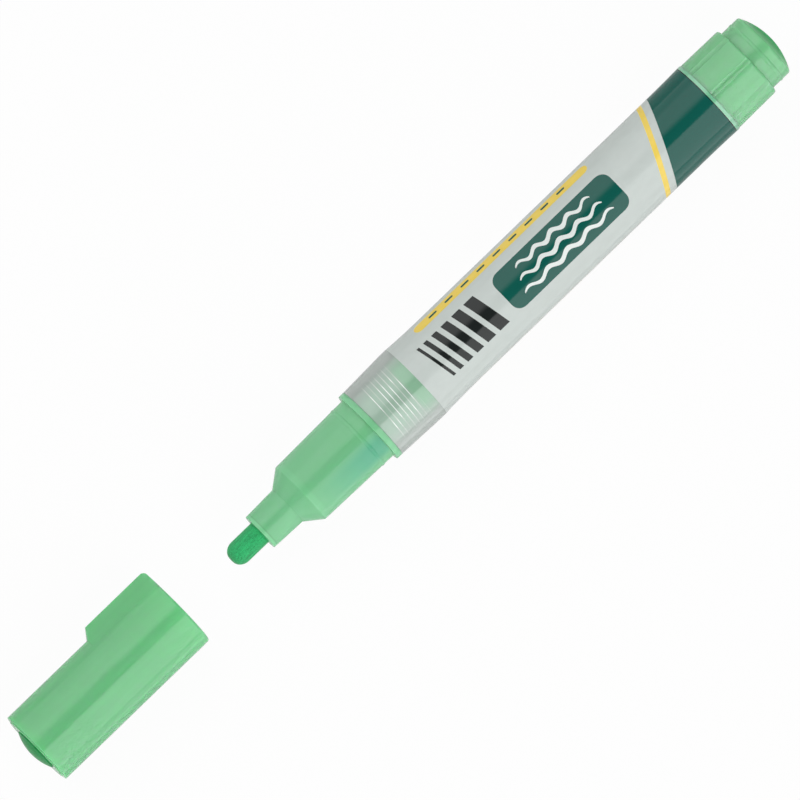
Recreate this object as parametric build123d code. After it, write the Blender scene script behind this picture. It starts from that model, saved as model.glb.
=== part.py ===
from build123d import *
from math import acos, atan2, cos, hypot, pi, sin, sqrt
import os

# Liquid chalk marker with its cap taken off, in millimetres.
# X is the axis: the nib points to -X and the rear plug to +X, and +Z is up.
# The origin is on the axis, at the middle of the printed sleeve.
# Radii grow from the valve stem and the nib outwards, so a changed wall or gap moves what lies round it.

# Shared fits
RUNNING_GAP = 0.05
PRESSED_FACE_GAP = 0.05
CUT_OVERRUN = 1.0

# Nib
NIB_RADIUS = 2.28
NIB_EXPOSED = 7.0
NIB_DOME_LENGTH = 2.2
NIB_TIP_FLAT_SHARE = 0.18
NIB_TRAVEL = 2.0
STROKE_ROOM = 0.3

# Pump valve
STEM_RADIUS = 0.9
HEAD_OVERLAP = 1.5
HEAD_THICKNESS = 1.0
VALVE_SEAL_THICKNESS = 0.55
SEAT_FLOW_GAP = 0.4
SEAT_THICKNESS = 1.0
SLEEVE_FLOW_GAP = 1.0
SLEEVE_WALL = 0.85
SLEEVE_LENGTH = 14.3
RIM_THICKNESS = 0.8
RIM_LEDGE = 1.2
RETAINER_THICKNESS = 1.2
ROD_GUIDE_GAP = 0.1
ROD_END_LENGTH = 0.3
PORT_COUNT = 6
PORT_RADIUS = 0.55
CUP_WALL = 0.6
CUP_DEPTH = 3.0
CUP_FLOOR = 0.8
SPRING_WIRE_RADIUS = 0.22
SPRING_ROD_ROOM = 0.45
SPRING_TURNS = 7
SPRING_ARCS_PER_TURN = 4
SPRING_CHECK_POINTS = 24
NEXT_TURN_SHARE = 0.75
LEAST_SPRING_GAP = 0.4

# Front section
SPIGOT_WALL = 1.45
SPIGOT_TAIL = 2.8
THREAD_DEPTH = 0.55
THREAD_GAP = 0.12
THREAD_PITCH = 1.83
THREAD_TURNS = 4
THREAD_CREST_WIDTH = 0.55
THREAD_ROOT_WIDTH = 0.8
THREAD_SINK = 0.15
THREAD_LEAD_IN = 2.4
CAP_SHOULDER = 0.875
SECTION_LENGTH = 16.5
SECTION_DRAFT = 0.29
SECTION_WALL = 1.5
SECTION_EDGE = 0.12
BEAD_HEIGHT = 0.09
BEAD_WIDTH = 0.7
BEAD_TO_FLANGE = 2.5
FLANGE_THICKNESS = 1.15
CONE_LENGTH = 3.2
SNOUT_LENGTH = 6.7
SNOUT_LIP = 0.63
SNOUT_DRAFT = 0.18
SNOUT_WALL = 0.81
SNOUT_EDGE = 0.15
NIB_SIDE_ROOM = 0.56

# Seal ring on the spigot
SEAL_RING_WIDTH = 1.1
SEAL_RING_SETBACK = 0.7

# Barrel and printed sleeve
NECK_WALL = 1.08
COLLAR_LENGTH = 10.6
COLLAR_FLARE = 0.27
SHOULDER_LAND = 1.4
LABEL_LENGTH = 71.2
LABEL_THICKNESS = 0.08
LABEL_LEDGE = 0.02
GRIP_DROP = 0.25
GRIP_EASE_LENGTH = 7.6
REAR_FLARE = 0.13
BARREL_WALL = 0.85
LIP_WIDTH = 0.63
NECK_TAIL = 1.2

# Rear plug
PLUG_INSERT_LENGTH = 8.0
PLUG_INSERT_WALL = 1.3
PLUG_STEP = 0.11
PLUG_LENGTH = 9.2
PLUG_DRAFT = 0.09
PLUG_EDGE = 0.45
GROOVE_COUNT = 8
GROOVE_WIDTH = 1.3
GROOVE_DEPTH = 0.17
POST_LENGTH = 4.1
POST_EDGE = 0.5
BEAD_ON_POST = 2.2
PLUG_DOME_HEIGHT = 1.75
PLUG_END_WALL = 1.5

# Mixing ball
BALL_RADIUS = 2.5
BALL_WALL_GAP = 0.1
BALL_END_GAP = 0.3

# Cap
CAP_SIDE_ROOM = 0.07
CAP_WALL = 0.68
CAP_BORE_DRAFT = 0.3
CAP_END_ROOM = 0.8
CAP_END_WALL = 0.9
CAP_MOUTH_ROUND = 0.45
CAP_END_EDGE = 0.15
CAP_APART = 12.45
END_DISC_INSET = 0.9
END_DISC_HEIGHT = 0.2
LUG_LENGTH = 15.6
LUG_HEIGHT = 1.93
LUG_TOP_WIDTH = 1.5
LUG_SLANT = 1.4
LUG_CORNER = 0.9
LUG_EDGE = 0.35
LUG_FOOT_SINK = 0.06

# Inner seal of the cap
LINER_WALL = 0.42
LINER_OVERLAP = 5.0
LINER_FLANGE_WIDTH = 0.9
LINER_FLANGE_THICKNESS = 0.8
LINER_DOME_HEIGHT = 1.15
LINER_STEP = 0.15

# Radii, from the axis outwards
head_radius = STEM_RADIUS + HEAD_OVERLAP
seat_hole_radius = STEM_RADIUS + SEAT_FLOW_GAP
sleeve_bore = head_radius + SLEEVE_FLOW_GAP
sleeve_radius = sleeve_bore + SLEEVE_WALL
rim_radius = sleeve_radius + RIM_LEDGE
thread_root = sleeve_radius + SPIGOT_WALL
thread_crest = thread_root + THREAD_DEPTH
neck_bore = thread_crest + THREAD_GAP
mouth_radius = neck_bore + NECK_WALL
section_rear_radius = mouth_radius - CAP_SHOULDER
section_front_radius = section_rear_radius - SECTION_DRAFT
section_cavity_radius = section_front_radius - SECTION_WALL
snout_bore = NIB_RADIUS + NIB_SIDE_ROOM
snout_front_radius = snout_bore + SNOUT_WALL
snout_base_radius = snout_front_radius + SNOUT_DRAFT
shoulder_radius = mouth_radius + COLLAR_FLARE
label_front_radius = shoulder_radius - LABEL_LEDGE
grip_radius = shoulder_radius - GRIP_DROP
lip_radius = grip_radius + REAR_FLARE
label_rear_radius = lip_radius - LABEL_LEDGE
chamber_radius = grip_radius - LABEL_THICKNESS - BARREL_WALL
plug_front_radius = lip_radius - PLUG_STEP
plug_rear_radius = plug_front_radius - PLUG_DRAFT
post_radius = section_rear_radius
insert_bore = chamber_radius - PLUG_INSERT_WALL
cap_mouth_bore = section_rear_radius + BEAD_HEIGHT + CAP_SIDE_ROOM
cap_end_bore = cap_mouth_bore - CAP_BORE_DRAFT
cap_radius = cap_mouth_bore + CAP_WALL
liner_bore = snout_base_radius + RUNNING_GAP
liner_radius = liner_bore + LINER_WALL

# Stations along the axis, from the middle of the sleeve
label_front = -LABEL_LENGTH / 2
label_rear = LABEL_LENGTH / 2
mouth = label_front - COLLAR_LENGTH
flange_front = mouth - FLANGE_THICKNESS
cone_rear = flange_front - SECTION_LENGTH
cone_front = cone_rear - CONE_LENGTH
snout_front = cone_front - SNOUT_LENGTH
nib_tip = snout_front - NIB_EXPOSED
thread_length = THREAD_TURNS * THREAD_PITCH
thread_start = mouth + THREAD_LEAD_IN
thread_end = thread_start + thread_length
spigot_end = thread_end + SPIGOT_TAIL
neck_end = thread_end + NECK_TAIL
rim_rear = spigot_end + RIM_THICKNESS
seat_front = spigot_end - SLEEVE_LENGTH
seat_rear = seat_front + SEAT_THICKNESS
head_front = seat_rear + PRESSED_FACE_GAP + VALVE_SEAL_THICKNESS
head_rear = head_front + HEAD_THICKNESS
retainer_front = rim_rear - RETAINER_THICKNESS
cup_rear = seat_front - STROKE_ROOM - NIB_TRAVEL
nib_tail = cup_rear - CUP_FLOOR
cup_front = nib_tail - CUP_DEPTH
lip_end = label_rear + LIP_WIDTH
insert_front = lip_end - PLUG_INSERT_LENGTH
plug_end = lip_end + PLUG_LENGTH
post_end = plug_end + POST_LENGTH
cap_reach = SECTION_LENGTH + CONE_LENGTH + SNOUT_LENGTH + NIB_EXPOSED
cap_mouth = nib_tip - CAP_APART
cap_floor = cap_mouth - cap_reach - CAP_END_ROOM
cap_end = cap_floor - CAP_END_WALL
liner_mouth = cap_mouth - SECTION_LENGTH - CONE_LENGTH - SNOUT_LENGTH + LINER_OVERLAP


def turned(*corners):
    """A solid turned about the marker's axis from an outline of (station, radius) corners."""
    return revolve(make_face(Polyline(*corners, close=True)), Axis.X)


def turned_lines(*lines):
    """A solid turned about the axis from an outline of joined lines and arcs."""
    return revolve(make_face(Wire(lines)), Axis.X)


def rounded(solid, station, radius, size):
    """Round the circular edge that lies at one station and radius."""
    def sits_there(edge):
        box = edge.bounding_box()
        middle = (box.min.X + box.max.X) / 2
        return abs(middle - station) < size / 2 and abs(box.max.Z - radius) < size / 2 and box.size.X < size / 2
    return fillet(solid.edges().filter_by(sits_there), size)


def domed(base_station, base_radius, height, way):
    """The arc of a shallow round dome, from its rim to its top on the axis."""
    ball = (base_radius ** 2 + height ** 2) / (2 * height)
    half_radius = base_radius / 2
    half_height = sqrt(ball ** 2 - half_radius ** 2) - (ball - height)
    return ThreePointArc(
        (base_station, base_radius),
        (base_station + way * half_height, half_radius),
        (base_station + way * height, 0),
    )


def bead(station, seat_radius):
    """A low round snap bead, sunk into the wall that carries it."""
    foot = BEAD_WIDTH / 2
    arc = ThreePointArc(
        (station - foot, seat_radius),
        (station, seat_radius + BEAD_HEIGHT),
        (station + foot, seat_radius),
    )
    sunk = seat_radius - BEAD_HEIGHT
    sides = Polyline((station + foot, seat_radius), (station + foot, sunk), (station - foot, sunk),
                     (station - foot, seat_radius))
    return turned_lines(arc, *sides.edges())


def thread_ridge(base_radius, tip_radius, start):
    """One left-hand helical ridge between two radii, with a wide foot and a narrow crest."""
    foot = THREAD_ROOT_WIDTH / 2
    crest = THREAD_CREST_WIDTH / 2
    profile = make_face(Polyline(
        (base_radius, 0, -foot),
        (tip_radius, 0, -crest),
        (tip_radius, 0, crest),
        (base_radius, 0, foot),
        close=True,
    ))
    path = Helix(THREAD_PITCH, thread_length, (base_radius + tip_radius) / 2, lefthand=True)
    ridge = sweep(profile, path=path, is_frenet=True)
    return Pos(start, 0, 0) * Rot(0, 90, 0) * ridge


def make_nib():
    """Fibre rod with a rounded, slightly flattened tip."""
    dome_rear = nib_tip + NIB_DOME_LENGTH
    flat = NIB_RADIUS * NIB_TIP_FLAT_SHARE
    tip = EllipticalCenterArc((dome_rear, flat), NIB_DOME_LENGTH, NIB_RADIUS - flat, start_angle=90, arc_size=90)
    body = Polyline((nib_tip, flat), (nib_tip, 0), (nib_tail, 0), (nib_tail, NIB_RADIUS), (dome_rear, NIB_RADIUS))
    return turned_lines(tip, *body.edges())


def make_front_section():
    """Nib holder: snout, cone, cap seat with its snap bead, flange and threaded spigot, all hollow."""
    lip_rear = snout_front + SNOUT_LIP
    nib_hole = NIB_RADIUS + RUNNING_GAP
    body = turned(
        (snout_front, nib_hole),
        (snout_front, snout_front_radius),
        (cone_front, snout_base_radius),
        (cone_rear, section_front_radius),
        (flange_front, section_rear_radius),
        (flange_front, mouth_radius),
        (mouth, mouth_radius),
        (mouth, thread_root),
        (spigot_end, thread_root),
        (spigot_end, sleeve_radius),
        (seat_front, sleeve_radius),
        (seat_front, section_cavity_radius),
        (cone_rear, section_cavity_radius),
        (cone_front, snout_bore),
        (lip_rear, snout_bore),
        (lip_rear, nib_hole),
    )
    body = rounded(body, snout_front, snout_front_radius, SNOUT_EDGE)
    body = rounded(body, flange_front, mouth_radius, SECTION_EDGE)
    bead_station = flange_front - BEAD_TO_FLANGE
    bead_seat = section_rear_radius - SECTION_DRAFT * BEAD_TO_FLANGE / SECTION_LENGTH
    body += bead(bead_station, bead_seat)
    return body + thread_ridge(thread_root - THREAD_SINK, thread_crest, thread_start)


def make_section_seal():
    """Ring that closes the gap between the spigot and the barrel's mouth."""
    front = mouth + SEAL_RING_SETBACK
    inner = thread_root + RUNNING_GAP
    outer = neck_bore - RUNNING_GAP
    rear = front + SEAL_RING_WIDTH
    return turned((front, inner), (front, outer), (rear, outer), (rear, inner))


def make_valve_body():
    """Sleeve pressed into the spigot, with the seat in front and a rim on the spigot's end."""
    return turned(
        (seat_front, seat_hole_radius),
        (seat_front, sleeve_radius),
        (spigot_end, sleeve_radius),
        (spigot_end, rim_radius),
        (rim_rear, rim_radius),
        (rim_rear, sleeve_bore),
        (seat_rear, sleeve_bore),
        (seat_rear, seat_hole_radius),
    )


def make_valve_plunger():
    """Cup for the nib's tail, stem through the seat, sealing head and guide rod, in one moulding."""
    cup_radius = NIB_RADIUS + CUP_WALL
    rod_end = rim_rear + ROD_END_LENGTH
    return turned(
        (cup_front, NIB_RADIUS),
        (cup_front, cup_radius),
        (cup_rear, cup_radius),
        (cup_rear, STEM_RADIUS),
        (head_front, STEM_RADIUS),
        (head_front, head_radius),
        (head_rear, head_radius),
        (head_rear, STEM_RADIUS),
        (rod_end, STEM_RADIUS),
        (rod_end, 0),
        (nib_tail, 0),
        (nib_tail, NIB_RADIUS),
    )


def make_valve_seal():
    """Soft washer on the stem, in front of the head."""
    front = head_front - VALVE_SEAL_THICKNESS
    return turned((front, STEM_RADIUS), (front, head_radius), (head_front, head_radius), (head_front, STEM_RADIUS))


def make_valve_retainer():
    """Disc that closes the sleeve behind the spring, with a guide hole and a ring of ink ports."""
    hole = STEM_RADIUS + ROD_GUIDE_GAP
    disc = turned((retainer_front, hole), (retainer_front, sleeve_bore), (rim_rear, sleeve_bore), (rim_rear, hole))
    port_circle = (hole + sleeve_bore) / 2
    port_length = RETAINER_THICKNESS + 2 * CUT_OVERRUN
    for index in range(PORT_COUNT):
        port = Pos(retainer_front - CUT_OVERRUN, 0, port_circle) * Rot(0, 90, 0)
        port = port * Cylinder(PORT_RADIUS, port_length, align=(Align.CENTER, Align.CENTER, Align.MIN))
        disc -= Rot(360 * index / PORT_COUNT, 0, 0) * port
    return disc


def spring_turn_points(radius, start, pitch):
    """Points and directions at the ends of the spring's arcs."""
    knots = []
    for index in range(SPRING_TURNS * SPRING_ARCS_PER_TURN + 1):
        angle = 2 * pi * index / SPRING_ARCS_PER_TURN
        place = Vector(start + pitch * index / SPRING_ARCS_PER_TURN, radius * cos(angle), radius * sin(angle))
        way = Vector(pitch / (2 * pi), -radius * sin(angle), radius * cos(angle)).normalized()
        knots.append((place, way))
    return knots


def biarc(first, first_way, last, last_way):
    """Two arcs that leave one point and reach another in given directions."""
    chord = last - first
    both = first_way + last_way
    a = 2 * (1 - first_way.dot(last_way))
    b = 2 * chord.dot(both)
    c = -chord.dot(chord)
    reach = (-b + sqrt(b ** 2 - 4 * a * c)) / (2 * a)
    near = first + first_way * reach
    far = last - last_way * reach
    middle = (near + far) / 2
    return [
        TangentArc(first, middle, tangent=first_way),
        TangentArc(middle, last, tangent=far - near),
    ]


def make_valve_spring():
    """One unbroken coil round the guide rod, between the head and the retainer."""
    radius = STEM_RADIUS + SPRING_ROD_ROOM + SPRING_WIRE_RADIUS
    clear = PRESSED_FACE_GAP + SPRING_WIRE_RADIUS
    start = head_rear + clear
    end = retainer_front - clear
    pitch = (end - start) / SPRING_TURNS
    knots = spring_turn_points(radius, start, pitch)
    arcs = []
    for (first, first_way), (last, last_way) in zip(knots, knots[1:]):
        arcs += biarc(first, first_way, last, last_way)
    path = Wire(arcs)
    section = Plane(origin=knots[0][0], z_dir=knots[0][1]) * Circle(SPRING_WIRE_RADIUS)
    coil = sweep(section, path=path)
    gap = spring_self_gap(path)
    print(f"valve_spring least gap to itself: {gap:.3f} mm, wanted over {LEAST_SPRING_GAP} mm")
    return coil


def spring_self_gap(path):
    """Least distance between the wire's surface on one turn and on the next."""
    count = SPRING_TURNS * SPRING_CHECK_POINTS
    points = [path @ (index / count) for index in range(count + 1)]
    apart = int(SPRING_CHECK_POINTS * NEXT_TURN_SHARE)
    least = min(
        (points[later] - points[index]).length
        for index in range(len(points))
        for later in range(index + apart, len(points))
    )
    return least - 2 * SPRING_WIRE_RADIUS


def flared(tangent_station, end_station, tangent_radius, end_radius):
    """An arc that leaves the straight grip smoothly and rises to a wider end."""
    run = end_station - tangent_station
    rise = end_radius - tangent_radius
    bend = (run ** 2 + rise ** 2) / (2 * rise)
    half_rise = bend - sqrt(bend ** 2 - (run / 2) ** 2)
    return ThreePointArc(
        (tangent_station, tangent_radius),
        (tangent_station + run / 2, tangent_radius + half_rise),
        (end_station, end_radius),
    )


def sleeve_lines(inset):
    """The sleeve's outline from its front edge to its rear edge, moved in by an inset."""
    straight_front = label_front + GRIP_EASE_LENGTH
    straight_rear = label_rear - GRIP_EASE_LENGTH
    grip = grip_radius - inset
    return [
        flared(straight_front, label_front, grip, label_front_radius - inset),
        Line((straight_front, grip), (straight_rear, grip)),
        flared(straight_rear, label_rear, grip, label_rear_radius - inset),
    ]


def make_label_sleeve():
    """Thin printed sleeve, shrunk on the barrel between its shoulder and its lip."""
    front = Line((label_front, label_front_radius - LABEL_THICKNESS), (label_front, label_front_radius))
    rear = Line((label_rear, label_rear_radius), (label_rear, label_rear_radius - LABEL_THICKNESS))
    return turned_lines(front, *sleeve_lines(0), rear, *sleeve_lines(LABEL_THICKNESS))


def make_barrel_tube():
    """Ink barrel: flared collar with an inside thread, recessed grip for the sleeve, and a rear lip."""
    collar = Polyline(
        (mouth, neck_bore),
        (mouth, mouth_radius),
        (label_front - SHOULDER_LAND, shoulder_radius),
        (label_front, shoulder_radius),
        (label_front, label_front_radius - LABEL_THICKNESS),
    )
    inside = Polyline(
        (label_rear, label_rear_radius - LABEL_THICKNESS),
        (label_rear, lip_radius),
        (lip_end, lip_radius),
        (lip_end, chamber_radius),
        (neck_end, chamber_radius),
        (neck_end, neck_bore),
        (mouth, neck_bore),
    )
    tube = turned_lines(*collar.edges(), *sleeve_lines(LABEL_THICKNESS), *inside.edges())
    tube = rounded(tube, mouth, mouth_radius, SECTION_EDGE)
    half_turn = THREAD_PITCH / 2
    return tube + thread_ridge(neck_bore + THREAD_SINK, thread_root + THREAD_GAP, thread_start + half_turn)


def make_rear_plug():
    """Plug pressed into the barrel: grooved tier, posting spigot with a snap bead, and a domed end."""
    dome = domed(post_end, post_radius, PLUG_DOME_HEIGHT, 1)
    cavity_end = plug_end + POST_LENGTH - PLUG_END_WALL
    outline = Polyline(
        (post_end + PLUG_DOME_HEIGHT, 0),
        (cavity_end, 0),
        (cavity_end, insert_bore),
        (insert_front, insert_bore),
        (insert_front, chamber_radius),
        (lip_end, chamber_radius),
        (lip_end, plug_front_radius),
        (plug_end, plug_rear_radius),
        (plug_end, post_radius),
        (post_end, post_radius),
    )
    plug = turned_lines(dome, *outline.edges())
    plug = rounded(plug, plug_end, plug_rear_radius, PLUG_EDGE)
    plug = rounded(plug, post_end, post_radius, POST_EDGE)
    plug += bead(plug_end + BEAD_ON_POST, post_radius)
    return plug - plug_grooves()


def plug_grooves():
    """Round-bottomed grooves along the plug's tier, evenly spaced from the top."""
    half_width = GROOVE_WIDTH / 2
    cutter_radius = (half_width ** 2 + GROOVE_DEPTH ** 2) / (2 * GROOVE_DEPTH)
    height = plug_rear_radius - GROOVE_DEPTH + cutter_radius
    slope = PLUG_DRAFT / PLUG_LENGTH
    length = hypot(PLUG_LENGTH, PLUG_DRAFT) + CUT_OVERRUN
    cutter = Cylinder(cutter_radius, length, align=(Align.CENTER, Align.CENTER, Align.MIN))
    start = Plane(origin=(lip_end, 0, height + PLUG_DRAFT), x_dir=(0, 1, 0), z_dir=(1, 0, -slope))
    return [Rot(360 * index / GROOVE_COUNT, 0, 0) * (start * cutter) for index in range(GROOVE_COUNT)]


def make_mixing_ball():
    """Loose ball that lies on the bottom of the ink chamber, by the plug."""
    height = chamber_radius - BALL_RADIUS - BALL_WALL_GAP
    return Pos(insert_front - BALL_RADIUS - BALL_END_GAP, 0, -height) * Sphere(BALL_RADIUS)


def make_cap_shell():
    """Cap with a drafted bore, a raised disc on its closed end and an anti-roll lug on its side."""
    disc_end = cap_end - END_DISC_HEIGHT
    disc_radius = cap_radius - END_DISC_INSET
    shell = turned(
        (cap_mouth, cap_mouth_bore),
        (cap_mouth, cap_radius),
        (cap_end, cap_radius),
        (cap_end, disc_radius),
        (disc_end, disc_radius),
        (disc_end, liner_radius),
        (cap_floor, liner_radius),
        (cap_floor, cap_end_bore),
    )
    shell = rounded(shell, cap_mouth, cap_radius, CAP_MOUTH_ROUND)
    shell = rounded(shell, cap_end, cap_radius, CAP_END_EDGE)
    return shell + cap_lug()


def cap_lug():
    """Anti-roll lug along the cap's side, from its mouth: flanks that run out into the cap, slanted behind."""
    top = cap_radius + LUG_HEIGHT
    top_half = LUG_TOP_WIDTH / 2
    rear_foot = cap_mouth - LUG_LENGTH
    side = make_face(Polyline(
        (cap_mouth, 0),
        (cap_mouth, top),
        (rear_foot + LUG_SLANT, top),
        (rear_foot, cap_radius),
        (rear_foot, 0),
        close=True,
    ))
    front_corner = side.vertices().sort_by_distance((cap_mouth, top, 0))[0]
    side = fillet(front_corner, LUG_CORNER)
    # Each flank is tangent to a circle just under the cap's skin, so that it sinks in with no visible step
    foot_radius = cap_radius - LUG_FOOT_SINK
    foot_angle = atan2(top_half, top) + acos(foot_radius / hypot(top_half, top))
    foot_height, foot_half = foot_radius * cos(foot_angle), foot_radius * sin(foot_angle)
    flanks = Polyline((foot_height, -foot_half), (top, -top_half), (top, top_half), (foot_height, foot_half))
    root = ThreePointArc((foot_height, foot_half), (foot_radius, 0), (foot_height, -foot_half))
    across = make_face([*flanks.edges(), root])
    across = fillet(across.vertices().sort_by(Axis.X)[-2:], LUG_EDGE)
    end_plane = Plane(origin=(rear_foot, 0, 0), x_dir=(0, 1, 0), z_dir=(1, 0, 0))
    ridge = extrude(end_plane * across, amount=LUG_LENGTH)
    return ridge & extrude(side, amount=cap_radius, both=True)


def make_cap_inner_seal():
    """Cup inside the cap that slips over the snout, with its domed end through the cap's closed end."""
    step_end = cap_end - END_DISC_HEIGHT - LINER_STEP
    dome = domed(step_end, liner_radius, LINER_DOME_HEIGHT - LINER_STEP, -1)
    flange_radius = liner_radius + LINER_FLANGE_WIDTH
    flange_front = cap_floor + LINER_FLANGE_THICKNESS
    outline = Polyline(
        (step_end - LINER_DOME_HEIGHT + LINER_STEP, 0),
        (cap_floor, 0),
        (cap_floor, liner_bore),
        (liner_mouth, liner_bore),
        (liner_mouth, liner_radius),
        (flange_front, liner_radius),
        (flange_front, flange_radius),
        (cap_floor, flange_radius),
        (cap_floor, liner_radius),
        (step_end, liner_radius),
    )
    return turned_lines(dome, *outline.edges())


PIECES = {
    "nib": make_nib,
    "front_section": make_front_section,
    "section_seal": make_section_seal,
    "valve_body": make_valve_body,
    "valve_plunger": make_valve_plunger,
    "valve_seal": make_valve_seal,
    "valve_spring": make_valve_spring,
    "valve_retainer": make_valve_retainer,
    "barrel_tube": make_barrel_tube,
    "label_sleeve": make_label_sleeve,
    "rear_plug": make_rear_plug,
    "mixing_ball": make_mixing_ball,
    "cap_shell": make_cap_shell,
    "cap_inner_seal": make_cap_inner_seal,
}

os.makedirs("parts", exist_ok=True)
for name, make in PIECES.items():
    export_step(make(), f"parts/{name}.step")
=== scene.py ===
"""Looks of a chalk marker with its cap taken off: finishes, printed sleeve, fibre nib, spring and stage."""
import math

import bpy
import numpy as np
from bpy.props import FloatProperty, FloatVectorProperty, IntProperty, PointerProperty
from mathutils import Matrix, Vector
from mathutils.geometry import delaunay_2d_cdt


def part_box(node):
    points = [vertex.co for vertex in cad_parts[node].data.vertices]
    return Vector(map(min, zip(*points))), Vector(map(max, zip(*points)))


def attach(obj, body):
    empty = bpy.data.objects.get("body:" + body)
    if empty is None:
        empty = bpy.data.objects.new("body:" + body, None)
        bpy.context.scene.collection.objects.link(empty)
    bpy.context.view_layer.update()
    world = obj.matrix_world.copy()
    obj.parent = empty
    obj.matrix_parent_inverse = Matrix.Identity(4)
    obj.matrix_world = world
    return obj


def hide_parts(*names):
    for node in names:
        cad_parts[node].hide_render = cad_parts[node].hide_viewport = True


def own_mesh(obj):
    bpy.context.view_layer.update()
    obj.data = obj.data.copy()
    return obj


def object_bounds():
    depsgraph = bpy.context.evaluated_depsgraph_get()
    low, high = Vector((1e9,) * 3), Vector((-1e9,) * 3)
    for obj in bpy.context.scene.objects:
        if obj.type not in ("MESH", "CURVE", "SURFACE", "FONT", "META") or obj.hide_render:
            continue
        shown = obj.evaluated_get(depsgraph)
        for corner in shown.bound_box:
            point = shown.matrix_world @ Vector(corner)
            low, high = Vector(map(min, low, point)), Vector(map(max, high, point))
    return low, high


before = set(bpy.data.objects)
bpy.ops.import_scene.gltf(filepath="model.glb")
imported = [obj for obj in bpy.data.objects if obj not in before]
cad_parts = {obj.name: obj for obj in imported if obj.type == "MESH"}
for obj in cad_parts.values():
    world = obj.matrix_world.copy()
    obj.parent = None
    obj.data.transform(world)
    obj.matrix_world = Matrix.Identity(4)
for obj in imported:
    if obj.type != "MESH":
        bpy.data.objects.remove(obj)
CAD_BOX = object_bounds()

bl_info = {
    "name": "Liquid Chalk Marker",
    "version": (1, 0, 0),
    "blender": (4, 5, 0),
    "location": "View3D > Sidebar > Chalk Marker",
    "description": "Dresses the chalk marker's pieces and sets its stage",
    "category": "Object",
}

MM = 0.001

# Places that the frame gives, in metres
SLEEVE_FRONT, SLEEVE_REAR = (corner.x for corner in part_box("label_sleeve"))
NIB_TIP, NIB_TAIL = (corner.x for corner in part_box("nib"))
NIB_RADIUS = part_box("nib")[1].z
SPRING_FRONT, SPRING_REAR = (corner.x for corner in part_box("valve_spring"))
SPRING_OUTER_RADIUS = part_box("valve_spring")[1].y
COLLAR_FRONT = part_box("barrel_tube")[0].x
SECTION_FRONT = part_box("front_section")[0].x
PLUG_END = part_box("rear_plug")[1].x
FLOOR_HEIGHT = CAD_BOX[0].z

# Painted tones of the section's milky wall by the distance from its front, in millimetres: painted light
# makes the front rim, the shoulder and the flange paler, and a darker line behind the rim stands for the
# bore's edge
SECTION_PAINTED_TONES = ((0.0, 1.12), (0.6, 1.12), (0.72, 0.8), (0.9, 1.0), (9.8, 1.0), (9.95, 1.06), (10.8, 1.06),
                 (11.3, 1.0), (26.25, 1.0), (26.4, 1.12), (27.55, 1.12))
FLANGE_FRONT = COLLAR_FRONT - 1.2 * MM

# The patch of ink that wets the section's inside: where it starts and is full along the marker, its middle
# and its half widths round the marker, and how much of the green it covers
INK_START = COLLAR_FRONT - 19 * MM
INK_FULL = COLLAR_FRONT - 3 * MM
INK_MIDDLE = math.radians(-36)
INK_FULL_HALF = math.radians(8)
INK_HALF = math.radians(34)
INK_SHARE = 0.8

# The collar's left-hand thread, as the part has it, and the stretch where painted highlights stand for its
# crests catching the light
THREAD_START = COLLAR_FRONT + 2.4 * MM
THREAD_PITCH = 1.83 * MM
GLINT_FRONT = COLLAR_FRONT + 1.8 * MM
GLINT_REAR = COLLAR_FRONT + 8.7 * MM
GLINT_FADE = 0.3 * MM
GLINT_SHARE = 0.9

# Where the section's seat starts and is full behind the barrel's wall, and how much of its green shows before
# it and at it
SEAT_START = SLEEVE_FRONT - 3.0 * MM
SEAT_FULL = SLEEVE_FRONT - 1.8 * MM
SEAT_SHARES = (0.24, 0.6)

# Where the plug's end begins to turn to a deeper, matt green, and where it has turned. The deeper green is
# partly the thick end's own colour and partly painted shade, as the end faces away from the lamps
DOME_START = PLUG_END - 1.9 * MM
DOME_FULL = PLUG_END - 0.5 * MM
DOME_ROUGHNESS = 0.9

# How light sinks into the cap's and the plug's polypropylene, green the furthest
SUNK_LIGHT = {"Subsurface Weight": 0.8, "Subsurface Scale": 4 * MM, "Subsurface Radius": (0.4, 1.0, 0.5)}

# The sleeve's outline follows the barrel: flared at both ends and straight between
SLEEVE_FILM = 0.08 * MM
SLEEVE_EASE = 7.6 * MM
SLEEVE_COLUMNS = 240
SLEEVE_ROWS_FLARED = 10
SLEEVE_ROWS_STRAIGHT = 24
SLEEVE_SEAM_ANGLE = math.radians(-220)
SEAM_RAMP = 0.5 * MM

# How finely the print's outlines are divided, how close points count as one place or one station, and the
# step over which the sleeve's slope is taken
PRINT_STEP = 0.25 * MM
CUT_TOLERANCE = 0.0005 * MM
SAME_PLACE = 0.001 * MM
SAME_STATION = 0.01 * MM
SLOPE_STEP = 0.01 * MM

# The print's rear band, the yellow line in front of it, and a painted shadow line in black ink along the
# film's cut rear edge
BAND_EDGE = 24.5 * MM
BAND_LINE_WIDTH = 1.1 * MM
BAND_LINE_GAP = 1.5 * MM
SHADOW_LINE_WIDTH = 0.16 * MM

# The print's leaning bars, each wider than the one before, and the panel's chalk waves behind them
BARS_FRONT = -30.5 * MM
BAR_WIDTH = 0.6 * MM
BAR_WIDTH_STEP = 0.34 * MM
BAR_GAP = 1.0 * MM
BAR_LEAN = -1.6 * MM
PANEL_GAP = 1.2 * MM
WAVE_INSET = 3.2 * MM
WAVE_INSET_STEP = 0.9 * MM
WAVE_PITCH = 2.2 * MM
WAVE_SWING = 0.45 * MM
WAVE_COUNT = 4.5
WAVE_END_SHARE = 0.25

# The print's long stripe beside the panel, and the dashes on it
STRIPE_FRONT = -30 * MM
STRIPE_REAR = 12 * MM
STRIPE_GAP = 3.6 * MM
STRIPE_ROUND_SHARE = 0.999
DASH_COUNT = 9
DASH_FRONT = -26.5 * MM
DASH_PITCH = 3.9 * MM
DASH_LENGTH = 1.9 * MM
DASH_WIDTH = 0.6 * MM
DASH_CORNER = 0.29 * MM

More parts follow.
